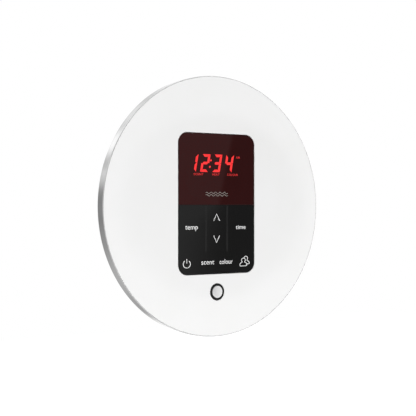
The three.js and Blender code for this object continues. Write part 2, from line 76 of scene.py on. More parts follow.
# What polished parts mirror. behind holds (angle, level), with angles from the left side, upwards. The other
# pairs give where a change starts and ends, or its two levels.
studio = {
    "behind": [
        (-180, 1.2), (-155, 1.15), (-142, 1.22), (-128, 0.98), (-115, 0.4), (-99, 0.43), (-85, 0.51),
        (-72, 0.52), (-60, 0.49), (-48, 0.42), (-35, 0.35), (-24, 0.33), (-13, 0.26), (-3, 0.3),
        (6, 0.27), (14, 0.31), (20, 0.58), (26, 0.71), (32, 0.91), (37, 0.6), (43, 0.59), (50, 0.93),
        (57, 1.3), (68, 1.22), (79, 0.74), (89, 0.95), (102, 0.94), (115, 0.68), (127, 0.81),
        (142, 1.08), (160, 1.15), (180, 1.2),
    ],
    "sideways": (-0.35, 0.25),
    "ambient": 0.42,
    "panelLevels": (0.285, 0.13),
    "panelEdge": 0.7096,
    "edgeLean": 0.232,
    "edgeFade": (-1.35, 0.65),
    "edgeWidths": (0.038, 0.004),
    "widthRise": (-0.02, 0.0),
    "fallAcross": (0.55, 0.85),
    "fallLevels": (1.08, 0.95),
    "glare": (0.5721, -0.8202, 0.0),
    "patch": (0.9957, 0.9966),
    "ring": (0.960, 0.975),
    "flank": (-0.78, -0.66),
    "roomLevels": (0.4, 1.15),
}


def feed(tree, socket, value):
    if isinstance(value, (int, float)):
        socket.default_value = value
    else:
        tree.links.new(value, socket)


def mathNode(tree, operation, *values):
    node = tree.nodes.new("ShaderNodeMath")
    node.operation = operation
    for socket, value in zip(node.inputs, values):
        feed(tree, socket, value)
    return node.outputs[0]


def mapRange(tree, value, start, end, low=0.0, high=1.0, smooth=False):
    node = tree.nodes.new("ShaderNodeMapRange")
    if smooth:
        node.interpolation_type = "SMOOTHSTEP"
    for socket, number in (("From Min", start), ("From Max", end), ("To Min", low), ("To Max", high)):
        node.inputs[socket].default_value = number
    tree.links.new(value, node.inputs["Value"])
    return node.outputs[0]


def mixNode(tree, factor, first, second):
    node = tree.nodes.new("ShaderNodeMix")
    for socket, value in (("Factor", factor), ("A", first), ("B", second)):
        feed(tree, node.inputs[socket], value)
    return node.outputs[0]


def lightBehind(tree, x, z):
    turn = mathNode(tree, "ARCTAN2", z, mathNode(tree, "MULTIPLY", x, -1))
    share = mathNode(tree, "MULTIPLY_ADD", turn, 1 / (2 * math.pi), 0.5)
    ramp = tree.nodes.new("ShaderNodeValToRGB")
    tree.links.new(share, ramp.inputs[0])
    stops = studio["behind"]
    top = max(level for angle, level in stops)
    for i, (angle, level) in enumerate(stops):
        at = (angle + 180) / 360
        stop = ramp.color_ramp.elements[i] if i < 2 else ramp.color_ramp.elements.new(at)
        stop.position = at
        stop.color = (level / top, level / top, level / top, 1)
    return mathNode(tree, "MULTIPLY", ramp.outputs[0], top)


def lightInFront(tree, place, x, y, z):
    # A large soft panel to the left with a straight leaning edge, and the dimmer room to the right of it
    depth = mathNode(tree, "MAXIMUM", mathNode(tree, "MULTIPLY", y, -1), 0.05)
    across = mathNode(tree, "DIVIDE", x, depth)
    rise = mathNode(tree, "DIVIDE", z, depth)
    edge = mathNode(tree, "MULTIPLY_ADD", rise, studio["edgeLean"], studio["panelEdge"])
    width = mapRange(tree, rise, *studio["widthRise"], *studio["edgeWidths"])
    past = mathNode(tree, "DIVIDE", mathNode(tree, "SUBTRACT", across, edge), width)
    panel = mapRange(tree, past, *studio["edgeFade"], *studio["panelLevels"], smooth=True)
    fall = mapRange(tree, across, *studio["fallAcross"], *studio["fallLevels"])
    dim = mathNode(tree, "MULTIPLY", panel, fall)
    # They fill only the patch that the panel can mirror, with a bright ring about it and a plain room beyond
    along = tree.nodes.new("ShaderNodeVectorMath")
    along.operation = "DOT_PRODUCT"
    along.inputs[1].default_value = studio["glare"]
    tree.links.new(place, along.inputs[0])
    near = along.outputs["Value"]
    ring = mapRange(tree, near, *studio["ring"], smooth=True)
    flank = mapRange(tree, y, *studio["flank"], smooth=True)
    around = mapRange(tree, mathNode(tree, "MAXIMUM", ring, flank), 0.0, 1.0, *studio["roomLevels"])
    return mixNode(tree, mapRange(tree, near, *studio["patch"], smooth=True), around, dim)


def addStudio():
    world = bpy.data.worlds.new("studio")
    scene.world = world
    world.use_nodes = True
    tree = world.node_tree
    tree.nodes.clear()
    place = tree.nodes.new("ShaderNodeTexCoord").outputs["Generated"]
    split = tree.nodes.new("ShaderNodeSeparateXYZ")
    tree.links.new(place, split.inputs[0])
    x, y, z = split.outputs
    side = mapRange(tree, y, *studio["sideways"], smooth=True)
    mirrored = mixNode(tree, side, lightInFront(tree, place, x, y, z), lightBehind(tree, x, z))
    rays = tree.nodes.new("ShaderNodeLightPath")
    glossy = mixNode(tree, rays.outputs["Is Glossy Ray"], studio["ambient"], mirrored)
    seen = mixNode(tree, rays.outputs["Is Camera Ray"], glossy, 1.0)
    background = tree.nodes.new("ShaderNodeBackground")
    tree.links.new(seen, background.inputs["Color"])
    output = tree.nodes.new("ShaderNodeOutputWorld")
    tree.links.new(background.outputs[0], output.inputs["Surface"])


lamps = [
    {"name": "front", "place": (-0.05, -1.15, -0.56), "size": 0.5, "power": 10.9},
    {"name": "behind", "place": (0.5, 1.2, 0.7), "size": 1.2, "power": 14},
    {"name": "above", "place": (0.2, 0.1, 1.4), "size": 1.0, "power": 5},
]


def addLamps():
    for lamp in lamps:
        data = bpy.data.lights.new(lamp["name"], "AREA")
        data.size = lamp["size"]
        data.energy = lamp["power"]
        aimed(lamp["name"] + "_lamp", data, lamp["place"]).visible_glossy = False


floor = {"level": -0.9, "size": 12, "shade": 0.2, "roughness": 0.9, "brightness": 0.97}


def addFloor():
    bm = bmesh.new()
    place = Matrix.Translation((0, 0, floor["level"]))
    bmesh.ops.create_grid(bm, x_segments=1, y_segments=1, size=floor["size"] / 2, matrix=place)
    mesh = bpy.data.meshes.new("floor")
    bm.to_mesh(mesh)
    bm.free()
    look = bpy.data.materials.new("pale_floor")
    look.use_nodes = True
    shader = look.node_tree.nodes["Principled BSDF"]
    shader.inputs["Base Color"].default_value = (*[floor["shade"]] * 3, 1)
    shader.inputs["Roughness"].default_value = floor["roughness"]
    shader.inputs["Emission Color"].default_value = (1, 1, 1, 1)
    shader.inputs["Emission Strength"].default_value = floor["brightness"]
    mesh.materials.append(look)
    piece = bpy.data.objects.new("floor", mesh)
    scene.collection.objects.link(piece)
    piece.visible_glossy = False
    piece.visible_diffuse = False


addCamera()
addStudio()
addLamps()
addFloor()
print("camera, light and floor placed")


def newLook(name):
    look = bpy.data.materials.new(name)
    look.use_nodes = True
    return look, look.node_tree, look.node_tree.nodes["Principled BSDF"]


def pattern(tree, stretch, size, detail=3.0, rough=0.55):
    # Noise on the piece's own place, stretched for brushing or moulding marks. Sizes are in millimetres.
    place = tree.nodes.new("ShaderNodeTexCoord").outputs["Object"]
    mapping = tree.nodes.new("ShaderNodeMapping")
    mapping.inputs["Scale"].default_value = [1000 * s for s in stretch]
    tree.links.new(place, mapping.inputs["Vector"])
    noise = tree.nodes.new("ShaderNodeTexNoise")
    noise.inputs["Scale"].default_value = 1 / size
    noise.inputs["Detail"].default_value = detail
    noise.inputs["Roughness"].default_value = rough
    tree.links.new(mapping.outputs[0], noise.inputs["Vector"])
    return noise.outputs["Fac"]


noiseSpan = (0.3, 0.7)  # where nearly all of the noise lies


def colours(tree, factor, *ends):
    node = tree.nodes.new("ShaderNodeValToRGB")
    for stop, at, colour in zip(node.color_ramp.elements, noiseSpan, ends):
        stop.position = at
        stop.color = (*colour, 1)
    tree.links.new(factor, node.inputs[0])
    return node.outputs[0]


def relief(tree, shader, height, depth):
    node = tree.nodes.new("ShaderNodeBump")
    node.inputs["Distance"].default_value = depth / 1000
    tree.links.new(height, node.inputs["Height"])
    tree.links.new(node.outputs[0], shader.inputs["Normal"])


def makeLook(name, dark, light, rough, tone, grain, depth, metal=0.0, stretch=(1, 1, 1), **sockets):
    # The colour drifts between dark and light over tone millimetres. grain and depth are the fine relief's.
    look, tree, shader = newLook(name)
    tree.links.new(colours(tree, pattern(tree, stretch, tone), dark, light), shader.inputs["Base Color"])
    fine = pattern(tree, stretch, grain, 4.0, 0.6)
    tree.links.new(mapRange(tree, fine, *noiseSpan, *rough), shader.inputs["Roughness"])
    relief(tree, shader, fine, depth)
    shader.inputs["Metallic"].default_value = metal
    for socket, value in sockets.items():
        shader.inputs[socket.replace("_", " ")].default_value = value
    return look


def grey(level):
    return (level, level, level)


polishedMetal = makeLook(
    "polished_bezel", grey(0.74), grey(0.8), (0.13, 0.2), 9, 0.11, 0.0008, 1.0, (0.04, 1, 0.04))
whiteGloss = makeLook(
    "white_gloss", (0.885, 0.885, 0.88), grey(0.9), (0.03, 0.06), 24, 6, 0.0006)
blackFilm = makeLook(
    "black_film", grey(0.0006), (0.0010, 0.0009, 0.0009), (0.05, 0.065), 7, 0.07, 0.0002,
    Specular_IOR_Level=0.84)
redWindow = makeLook(
    "red_window", (0.0218, 0.0018, 0.0017), (0.0242, 0.0024, 0.0023), (0.012, 0.03), 11, 5, 0.0003,
    Specular_Tint=(1.0, 0.1, 0.1, 1), Coat_Weight=0.7, Coat_Roughness=0.012)
blackPlastic = makeLook(
    "black_plastic", grey(0.012), grey(0.018), (0.42, 0.58), 8, 0.28, 0.012)
keyPlastic = makeLook(
    "key_plastic", grey(0.016), grey(0.022), (0.45, 0.6), 5, 0.2, 0.008)
whitePlastic = makeLook(
    "white_plastic", (0.70, 0.70, 0.68), (0.76, 0.76, 0.74), (0.38, 0.55), 14, 0.35, 0.012)
bondTape = makeLook(
    "bonding_tape", (0.60, 0.60, 0.57), (0.72, 0.72, 0.69), (0.55, 0.7), 4, 0.5, 0.02)
blackRubber = makeLook(
    "black_rubber", grey(0.004), grey(0.007), (0.55, 0.7), 3, 0.12, 0.006, Specular_IOR_Level=0.3)
greyRubber = makeLook(
    "grey_rubber", grey(0.11), grey(0.16), (0.65, 0.85), 5, 0.22, 0.02)
stainless = makeLook(
    "stainless_sheet", grey(0.50), grey(0.58), (0.22, 0.38), 12, 0.16, 0.002, 1.0, (0.03, 1, 1))
zincSteel = makeLook(
    "zinc_steel", (0.50, 0.50, 0.47), (0.62, 0.62, 0.61), (0.25, 0.42), 2.2, 0.15, 0.003, 1.0)
nickel = makeLook(
    "nickel_magnet", (0.60, 0.58, 0.54), (0.68, 0.66, 0.62), (0.12, 0.3), 3, 0.2, 0.001, 1.0)
sensorSteel = makeLook(
    "sensor_steel", grey(0.77), grey(0.82), (0.4, 0.5), 2, 0.07, 0.0012, 0.5)
canMetal = makeLook(
    "can_aluminium", grey(0.6), grey(0.7), (0.25, 0.4), 3, 0.1, 0.002, 1.0, (1, 0.05, 1))
chipBlack = makeLook(
    "chip_black", grey(0.010), grey(0.016), (0.45, 0.6), 2, 0.09, 0.006)
goldPlate = makeLook(
    "gold_contacts", (0.72, 0.50, 0.20), (0.82, 0.60, 0.28), (0.2, 0.32), 1, 0.05, 0.001, 1.0)
whiteInk = makeLook(
    "white_ink", (0.90, 0.90, 0.90), (0.97, 0.97, 0.97), (0.4, 0.55), 0.6, 0.05, 0.0015)
paleInk = makeLook(
    "pale_ink", (0.20, 0.185, 0.17), (0.26, 0.24, 0.22), (0.3, 0.45), 0.8, 0.05, 0.001)
darkInk = makeLook(
    "dark_ink", grey(0.0066), grey(0.0076), (0.1, 0.14), 0.8, 0.05, 0.0003, Specular_IOR_Level=0.7)


def circuitLook():
    # Green mask over copper: runs of track between plain areas
    look, tree, shader = newLook("circuit_board")
    place = tree.nodes.new("ShaderNodeTexCoord").outputs["Object"]
    turn = tree.nodes.new("ShaderNodeMapping")
    turn.inputs["Rotation"].default_value = (math.radians(90), 0, 0)
    turn.inputs["Scale"].default_value = (1000, 1000, 1000)
    tree.links.new(place, turn.inputs["Vector"])
    bricks = tree.nodes.new("ShaderNodeTexBrick")
    bricks.inputs["Color1"].default_value = (0.010, 0.10, 0.035, 1)
    bricks.inputs["Color2"].default_value = (0.014, 0.13, 0.05, 1)
    bricks.inputs["Mortar"].default_value = (0.004, 0.055, 0.02, 1)
    bricks.inputs["Scale"].default_value = 0.9
    bricks.inputs["Mortar Size"].default_value = 0.03
    bricks.inputs["Brick Width"].default_value = 2.6
    tree.links.new(turn.outputs[0], bricks.inputs["Vector"])
    tree.links.new(bricks.outputs["Color"], shader.inputs["Base Color"])
    fine = pattern(tree, (1, 1, 1), 0.3)
    tree.links.new(mapRange(tree, fine, *noiseSpan, 0.3, 0.45), shader.inputs["Roughness"])
    relief(tree, shader, bricks.outputs["Fac"], 0.02)
    return look


def litLook(name, strength):
    # Lit parts of the display, a little uneven over a few millimetres as the light behind them is
    look, tree, shader = newLook(name)
    glow = pattern(tree, (1, 1, 1), 3.0, 1.0)
    own = colours(tree, glow, (0.12, 0.002, 0.002), (0.16, 0.003, 0.003))
    tree.links.new(own, shader.inputs["Base Color"])
    light = colours(tree, glow, (0.92, 0.011, 0.013), (1.0, 0.024, 0.024))
    tree.links.new(light, shader.inputs["Emission Color"])
    shader.inputs["Emission Strength"].default_value = strength
    shader.inputs["Roughness"].default_value = 0.35
    return look


circuit = circuitLook()
lit = litLook("lit_display", 1.0)
dimLit = litLook("lit_words", 0.62)

# Inner CAD pieces keep their shapes and take these looks.
innerLooks = {
    "bonding_sheet": bondTape, "keypad_frame": blackPlastic, "panel_seal": blackRubber,
    "light_shield": blackPlastic, "led_display": chipBlack, "display_board": circuit,
    "main_board": circuit, "board_header": chipBlack, "controller_chip": chipBlack,
    "capacitor": canMetal, "buzzer": chipBlack, "thermistor": keyPlastic,
    "key_": keyPlastic, "switch_": chipBlack, "carrier_screw": zincSteel,
}
for name, node in nodes.items():
    for start, look in innerLooks.items():
        if name.startswith(start):
            node.data.materials.clear()
            node.data.materials.append(look)
print("materials made")


# Pieces are built in millimetres, and finishPiece brings them to metres.
def boxOf(node):
    low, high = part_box(node)
    return low * 1000, high * 1000


def middleOf(node):
    low, high = boxOf(node)
    return (low + high) / 2


def middlesOf(kind):
    return [middleOf(f"{kind}_{i}") for i in range(1, 5)]


def radiusOf(node):
    low, high = boxOf(node)
    return max(high.x - low.x, high.z - low.z) / 2


def placePiece(name, mesh, look, body, replaced):
    mesh.materials.clear()
    mesh.materials.append(look)
    piece = bpy.data.objects.new(name, mesh)
    scene.collection.objects.link(piece)
    if isinstance(body, str):
        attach(piece, body)
    else:
        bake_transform(piece)
    if replaced:
        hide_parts(*replaced)
    return piece


def finishPiece(name, bm, look, replaced=(), sharp=40, body="control_head"):
    bmesh.ops.remove_doubles(bm, verts=bm.verts[:], dist=1e-4)
    bmesh.ops.recalc_face_normals(bm, faces=bm.faces[:])
    for face in bm.faces:
        face.smooth = True
    for edge in bm.edges:
        edge.smooth = edge.calc_face_angle(0) < math.radians(sharp)
    bmesh.ops.transform(bm, matrix=Matrix.Scale(0.001, 4), verts=bm.verts[:])
    mesh = bpy.data.meshes.new(name)
    bm.to_mesh(mesh)
    bm.free()
    piece = placePiece(name, mesh, look, body, replaced)
    weigh = piece.modifiers.new("even_shading", "WEIGHTED_NORMAL")
    weigh.keep_sharp = True
    return piece


def edgesOf(verts):
    inside = set(verts)
    return list({edge for vert in verts for edge in vert.link_edges if edge.other_vert(vert) in inside})


def ringOf(bm, spots, y):
    verts = [bm.verts.new((x, y, z)) for x, z in spots]
    for first, second in zip(verts, verts[1:] + verts[:1]):
        bm.edges.new((first, second))
    return verts


def roundCorner(bm, vert, radius, steps):
    bmesh.ops.bevel(
        bm, geom=[vert], offset=radius, offset_type="ABSOLUTE", segments=steps, profile=0.5,
        affect="VERTICES", material=-1)


# A shape draws one loop of its outline, larger by grow, at the depth y, and gives back its edges.
def circle(x, z, radius, steps=96):
    def draw(bm, grow, y):
        place = Matrix.Translation((x, y, z)) @ Matrix.Rotation(math.radians(90), 4, "X")
        made = bmesh.ops.create_circle(bm, segments=steps, radius=radius + grow, matrix=place)
        return edgesOf(made["verts"])
    return draw


def rectangle(x, z, width, height, radii=(0, 0, 0, 0), steps=8):
    # radii go from the top left, clockwise
    def draw(bm, grow, y):
        right, top = width / 2 + grow, height / 2 + grow
        spots = ((x - right, z + top), (x + right, z + top), (x + right, z - top), (x - right, z - top))
        verts = ringOf(bm, spots, y)
        before = set(bm.verts) - set(verts)
        for vert, radius in zip(verts, radii):
            if radius + grow > 0.01 and radius > 0:
                roundCorner(bm, vert, radius + grow, steps)
        return edgesOf([vert for vert in bm.verts if vert not in before])
    return draw


def boxOutline(ends, grow=0, radii=(0, 0, 0, 0), steps=8):
    low, high = ends
    size = high - low
    middle = (low + high) / 2
    return rectangle(middle.x, middle.z, size.x + 2 * grow, size.z + 2 * grow, radii, steps)


def quarter(steps):
    return [math.radians(90 * i / steps) for i in range(steps + 1)]


def steppedEdge(front, back, rounding, outward):
    # (grow, y) from front to back, with a rounded edge at each end
    start = [
        (outward * rounding * (math.sin(a) - 1), front + rounding * (1 - math.cos(a))) for a in quarter(3)]
    end = [(grow, front + back - y) for grow, y in reversed(start)]
    return start + end


def bridge(bm, loops):
    for first, second in zip(loops, loops[1:]):
        bmesh.ops.bridge_loops(bm, edges=first + second)
    return loops[0], loops[-1]


def cap(bm, loops):
    bmesh.ops.triangle_fill(bm, use_beauty=True, edges=[edge for loop in loops for edge in loop])


def wall(bm, shape, section):
    return bridge(bm, [shape(bm, grow, y) for grow, y in section])


def slab(bm, walls, pockets=()):
    # Both hold (shape, section from front to back). Walls are filled at both ends, pockets at their floor.
    made = [wall(bm, *pair) for pair in walls]
    sunk = [wall(bm, *pair) for pair in pockets]
    for first, last in sunk:
        cap(bm, [first])
    cap(bm, [first for first, last in made])
    cap(bm, [last for first, last in made + sunk])


def plate(bm, outer, holes, front, back, rounding, pockets=()):
    # pockets are (shape, floor) cut from the back
    walls = [(outer, steppedEdge(front, back, rounding, 1))]
    walls += [(hole, steppedEdge(front, back, rounding, -1)) for hole in holes]
    slab(bm, walls, [(shape, [(0, y), (0, back - rounding), (rounding, back)]) for shape, y in pockets])


def turned(bm, profile, x=0, z=0, steps=96, corners=None):
    # profile is (radius, y). A closed one ends where it starts. corners gives how far to round each point.
    closed = profile[0] == profile[-1]
    points = profile[:-1] if closed else profile
    verts = [bm.verts.new((x + radius, y, z)) for radius, y in points]
    before = set(bm.verts) - set(verts)
    for first, second in zip(verts, verts[1:] + verts[:1] if closed else verts[1:]):
        bm.edges.new((first, second))
    for i, rounding in (corners or {}).items():
        roundCorner(bm, verts[i], rounding, 4)
    drawn = [vert for vert in bm.verts if vert not in before]
    bmesh.ops.spin(
        bm, geom=drawn + edgesOf(drawn), cent=(x, 0, z), axis=(0, 1, 0), angle=2 * math.pi,
        steps=steps, use_merge=True)


def block(bm, low, high, rounding=0, segments=2):
    size = Vector(high) - Vector(low)
    place = Matrix.Translation((Vector(high) + Vector(low)) / 2) @ Matrix.Diagonal((*size, 1))
    made = bmesh.ops.create_cube(bm, size=1, matrix=place)
    if rounding:
        bmesh.ops.bevel(
            bm, geom=edgesOf(made["verts"]), offset=rounding, segments=segments, profile=0.5,
            affect="EDGES", material=-1)


def cutFrom(bm, tool):
    # Gives back the mesh without the tool's shape, and frees both
    parts = []
    for shape in (bm, tool):
        bmesh.ops.remove_doubles(shape, verts=shape.verts[:], dist=1e-4)
        bmesh.ops.recalc_face_normals(shape, faces=shape.faces[:])
        mesh = bpy.data.meshes.new("cut")
        shape.to_mesh(mesh)
        shape.free()
        part = bpy.data.objects.new("cut", mesh)
        scene.collection.objects.link(part)
        parts.append(part)
    cutting = parts[0].modifiers.new("cut", "BOOLEAN")
    cutting.operation = "DIFFERENCE"
    cutting.solver = "EXACT"
    cutting.object = parts[1]
    bpy.context.view_layer.update()
    made = bpy.data.meshes.new_from_object(parts[0].evaluated_get(bpy.context.evaluated_depsgraph_get()))
    result = bmesh.new()
    result.from_mesh(made)
    for part in parts:
        bpy.data.meshes.remove(part.data)
    bpy.data.meshes.remove(made)
    return result


def cutBlock(bm, low, high):
    tool = bmesh.new()
    block(tool, low, high)
    return cutFrom(bm, tool)


bezel = {
    "wall": 1.8, "lip": 0.5, "ledge": 3.7, "frontRounding": 0.3, "lipRounding": 0.03, "rounding": 0.1,
    "steps": 192,
}


def addBezel():
    low, high = boxOf("bezel_ring")
    carrierFront, carrierBack = boxOf("carrier_plate")[0].y, boxOf("carrier_plate")[1].y
    outer = high.x
    lip, skirt = outer - bezel["lip"], outer - bezel["wall"]
    ledge = skirt - bezel["ledge"]
    profile = [
        (lip, low.y), (outer, low.y), (outer, high.y), (skirt, high.y), (skirt, carrierBack),
        (ledge, carrierBack), (ledge, carrierFront), (lip, carrierFront), (lip, low.y),
    ]
    corners = {0: bezel["lipRounding"], 1: bezel["frontRounding"]}
    corners |= dict.fromkeys((2, 3, 5, 6), bezel["rounding"])
    bm = bmesh.new()
    turned(bm, profile, steps=bezel["steps"], corners=corners)
    finishPiece("bezel_smooth", bm, polishedMetal, ["bezel_ring"], 50)


face = {"panel": (52.4, 78.9, 6.0), "sensorHole": 4.85, "rounding": 0.06, "toLip": 0.02, "steps": 192}


def panelOutline():
    top, bottom = boxOf("display_window")[1].z, boxOf("keypad_film")[0].z
    width, height, corner = face["panel"]
    return rectangle(0, (top + bottom) / 2, width, height, [corner] * 4, 10)


def faceHoles():
    sensor = middleOf("sensor_cap")
    return [panelOutline(), circle(sensor.x, sensor.z, face["sensorHole"], 64)]


def addFace():
    low, high = boxOf("face_disc")
    radius = boxOf("bezel_ring")[1].x - bezel["lip"] - face["toLip"]
    bm = bmesh.new()
    plate(bm, circle(0, 0, radius, face["steps"]), faceHoles(), low.y, high.y, face["rounding"])
    finishPiece("face_smooth", bm, whiteGloss, ["face_disc"])


carrier = {
    "rounding": 0.1, "screwRoom": 1.0, "screwDepth": 1.2, "magnetRoom": 0.15, "magnetUnder": 0.05,
    "magnetRounding": 0.15,
}


def addCarrier():
    low, high = boxOf("carrier_plate")
    pockets = []
    for magnet, screw in zip(middlesOf("magnet"), middlesOf("wall_screw")):
        magnetHole = circle(magnet.x, magnet.z, radiusOf("magnet_1") + carrier["magnetRoom"], 64)
        pockets.append((magnetHole, boxOf("magnet_1")[0].y - carrier["magnetUnder"]))
        screwHole = circle(screw.x, screw.z, radiusOf("wall_screw_1") + carrier["screwRoom"], 64)
        pockets.append((screwHole, high.y - carrier["screwDepth"]))
    bm = bmesh.new()
    plate(bm, circle(0, 0, high.x, 192), faceHoles(), low.y, high.y, carrier["rounding"], pockets)
    finishPiece("carrier_smooth", bm, whitePlastic, ["carrier_plate"])


def addMagnets():
    for i in range(1, 5):
        low, high = boxOf(f"magnet_{i}")
        middle, radius = middleOf(f"magnet_{i}"), radiusOf(f"magnet_{i}")
        profile = [(0, low.y), (radius, low.y), (radius, high.y), (0, high.y)]
        corners = {1: carrier["magnetRounding"], 2: carrier["magnetRounding"]}
        bm = bmesh.new()
        turned(bm, profile, middle.x, middle.z, 64, corners)
        finishPiece(f"magnet_disc_{i}", bm, nickel, [f"magnet_{i}"])


seal = {"width": 7.4, "rounding": 0.25, "groove": 0.3, "grooveDepth": 0.35, "grooves": (1.8, 3.7, 5.6)}


def addSeal():
    low, high = boxOf("wall_seal")
    outer, inner = high.x, high.x - seal["width"]
    # Shallow grooves in the face that touches the wall
    back = [(inner, high.y)]
    for at in seal["grooves"]:
        for step, depth in ((-1, 0), (0, 1), (1, 0)):
            back.append((inner + at + step * seal["groove"], high.y - depth * seal["grooveDepth"]))
    profile = back + [(outer, high.y), (outer, low.y), (inner, low.y), (inner, high.y)]
    bm = bmesh.new()
    last = len(profile) - 1
    soft = seal["rounding"]
    turned(bm, profile, steps=160, corners={i: soft for i in (0, last - 3, last - 2, last - 1)})
    finishPiece("wall_seal_ring", bm, greyRubber, ["wall_seal"])


addBezel()
addFace()
addCarrier()
addMagnets()
addSeal()
print("face, bezel, carrier and seal made")


window = {"corner": 5.65, "rounding": 0.06}


def addWindow():
    low, high = boxOf("display_window")
    corner = window["corner"]
    bm = bmesh.new()
    outline = boxOutline((low, high), radii=(corner, corner, 0, 0), steps=10)
    plate(bm, outline, [], low.y, high.y, window["rounding"])
    finishPiece("window_panel", bm, redWindow, ["display_window"])


display = {
    "proud": 0.03, "sunk": 0.05, "bottom": 19.1, "height": 9.9, "width": 5.3, "stroke": 1.45, "gap": 0.1,
    "slant": 0.19, "firstDigit": -16.2, "pitch": 8.1, "colon": (-4.6, 2.9, 6.5), "dot": 1.1,
    "dotRounding": 0.44,
}
segments = {"1": "bc", "2": "abged", "3": "abgcd", "4": "fgbc"}


def raised(bm, shape):
    low = boxOf("display_window")[0]
    slab(bm, [(shape, [(0, low.y - display["proud"]), (0, low.y + display["sunk"])])])


def polygon(spots):
    def draw(bm, grow, y):
        return edgesOf(ringOf(bm, spots, y))
    return draw


def digitStroke(name, centre):
    # The top stroke, one side stroke and the middle one, mirrored to the other places
    half, top, thick, gap = display["width"] / 2, display["height"], display["stroke"], display["gap"]
    middle = top / 2
    flat = [(gap - half, top), (half - gap, top), (half - thick - gap, top - thick),
            (thick + gap - half, top - thick)]
    side = [(half, top - gap), (half, middle + gap), (half - thick / 2, middle + gap),
            (half - thick, middle + thick / 2 + gap), (half - thick, top - thick - gap)]
    reach, inner = half - thick / 2 - gap, half - thick
    bar = [(-reach, middle), (-inner, middle + thick / 2), (inner, middle + thick / 2), (reach, middle),
           (inner, middle - thick / 2), (-inner, middle - thick / 2)]
    spots = {"a": flat, "d": flat, "b": side, "c": side, "f": side, "e": side, "g": bar}[name]
    flipX, flipZ = name in "fe", name in "dce"
    return [(centre + (-x if flipX else x), top - z if flipZ else z) for x, z in spots]


def addDigits():
    bm = bmesh.new()
    for i, digit in enumerate("1234"):
        for name in segments[digit]:
            raised(bm, polygon(digitStroke(name, display["firstDigit"] + i * display["pitch"])))
    x, *heights = display["colon"]
    dot = display["dot"]
    for z in heights:
        raised(bm, rectangle(x, z, dot, dot, [display["dotRounding"]] * 4, 3))
    lean = Matrix.Identity(4)
    lean[0][2] = display["slant"]
    shift = Matrix.Translation((-display["slant"] * display["height"] / 2, 0, display["bottom"]))
    bmesh.ops.transform(bm, matrix=shift @ lean, verts=bm.verts[:])
    finishPiece("display_digits", bm, lit)


def wordMesh(text, capHeight, proud, weight=0.0, spacing=1.0):
    # Raised lettering, facing -Y
    curve = bpy.data.curves.new("word", "FONT")
    curve.body = text
    curve.size = capHeight / 0.7  # capitals stand 0.7 of the size
    curve.offset = weight
    curve.space_character = spacing
    curve.extrude = proud
    curve.resolution_u = 4
    return curveMesh(curve)


def tubeCurve(radius, roundness):
    curve = bpy.data.curves.new("tube", "CURVE")
    curve.dimensions = "3D"
    curve.bevel_depth = radius
    curve.bevel_resolution = roundness
    curve.use_fill_caps = True
    return curve


def curveMesh(curve, turn=90):
    holder = bpy.data.objects.new("drawing", curve)
    scene.collection.objects.link(holder)
    bpy.context.view_layer.update()
    made = bpy.data.meshes.new_from_object(holder.evaluated_get(bpy.context.evaluated_depsgraph_get()))
    bpy.data.objects.remove(holder)
    bm = bmesh.new()
    bm.from_mesh(made)
    bpy.data.meshes.remove(made)
    bmesh.ops.transform(bm, matrix=Matrix.Rotation(math.radians(turn), 4, "X"), verts=bm.verts[:])
    return bm


def fitDrawing(bm, x0, x1, z0, z1, frontY, depth):
    # Stretches and moves a flat drawing into its place on the front
    lows = [min(vert.co[i] for vert in bm.verts) for i in range(3)]
    highs = [max(vert.co[i] for vert in bm.verts) for i in range(3)]
    wide, deep, tall = (high - low for low, high in zip(lows, highs))
    middle = Vector([(low + high) / 2 for low, high in zip(lows, highs)])
    size = Matrix.Diagonal(((x1 - x0) / wide, depth / deep, (z1 - z0) / tall, 1))
    place = Matrix.Translation(((x0 + x1) / 2, frontY + depth / 2, (z0 + z1) / 2))
    bmesh.ops.transform(bm, matrix=place @ size @ Matrix.Translation(-middle), verts=bm.verts[:])


smallWords = {
    "half_day_mark": ("AM", 13.1, 15.6, 27.1, 28.3), "word_scent": ("SCENT", -15.9, -9.4, 17.2, 18.4),
    "word_heat": ("HEAT", -3.4, 1.6, 17.2, 18.4), "word_colour": ("COLOUR", 6.8, 14.4, 17.2, 18.4),
}


def addSmallWords():
    low = boxOf("display_window")[0]
    for name, (text, *place) in smallWords.items():
        bm = wordMesh(text, capHeight=1.4, proud=0.03, weight=0.02, spacing=1.1)
        fitDrawing(bm, *place, low.y - display["proud"], display["proud"] + display["sunk"])
        finishPiece(name, bm, dimLit)


addWindow()
addDigits()
addSmallWords()
print("window and display made")


# The keypad film, with a hole over each key that a patch and four strips fill
film = {"proudInk": 0.012, "inkDepth": 0.04, "outer": 0.12, "inner": 0.45, "rows": 6, "keyFlange": 0.8}
keyNames = ("temp", "time", "up", "down", "power", "scent", "colour", "users")


def padOf(key):
    low, high = boxOf(f"key_{key}")
    flange = Vector((film["keyFlange"], 0, film["keyFlange"]))
    return low + flange, high - flange


def addFilm():
    low, high = boxOf("keypad_film")
    corner = window["corner"]
    outlines = [boxOutline((low, high), radii=(0, 0, corner, corner), steps=10)]
    outlines += [boxOutline(padOf(key), -film["outer"]) for key in keyNames]
    bm = bmesh.new()
    slab(bm, [(shape, [(0, low.y), (0, high.y)]) for shape in outlines])
    finishPiece("keypad_film_sheet", bm, blackFilm, ["keypad_film"])


